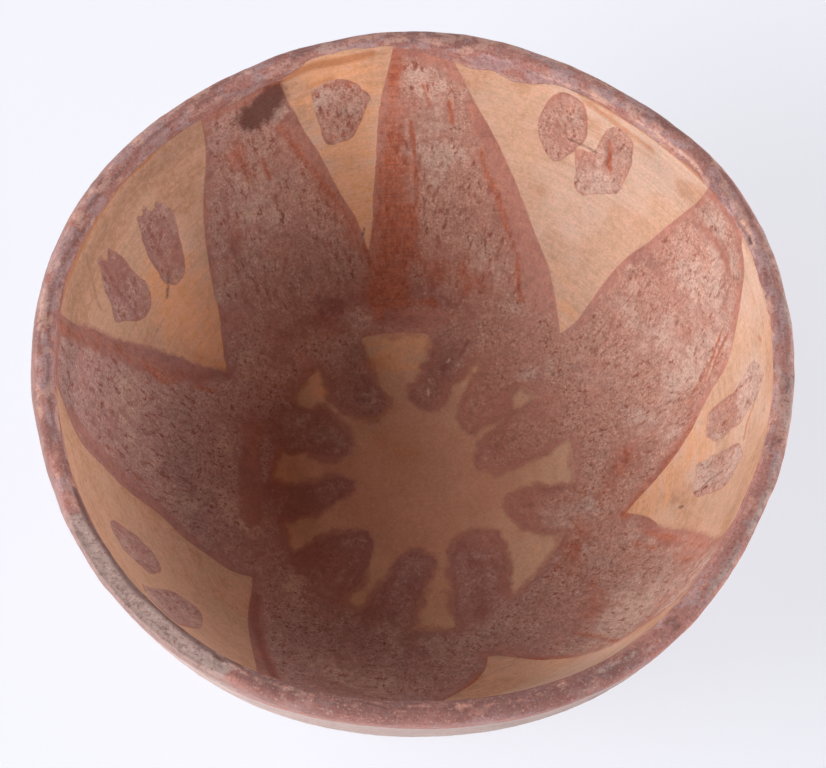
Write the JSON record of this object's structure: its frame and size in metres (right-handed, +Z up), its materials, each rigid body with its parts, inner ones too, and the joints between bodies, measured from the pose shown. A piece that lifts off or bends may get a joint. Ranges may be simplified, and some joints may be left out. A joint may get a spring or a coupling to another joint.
{
  "type": "painted bowl",
  "caption": "Hand-built round bowl with a rounded lip and a flattened base, slipped buff and painted red inside, open at the top to hold food or drink.",
  "frame": {"origin": "middle of the flattened base, on the surface that the bowl stands on", "axes": "+Z up out of the mouth; the picture looks in from above the -Y side, with +X to its right"},
  "size_m": [0.1987, 0.1997, 0.0881],
  "materials": {
    "slipped_ware": "burnished slip with red paint",
    "painted_lip": "worn red paint"
  },
  "bodies": {
    "root": {"base_disc": "slipped_ware", "wall_coil_1": "slipped_ware", "wall_coil_2": "slipped_ware", "wall_coil_3": "slipped_ware", "wall_coil_4": "slipped_ware", "wall_coil_5": "slipped_ware", "wall_coil_6": "slipped_ware", "rim_coil": "painted_lip"}
  },
  "joints": []
}
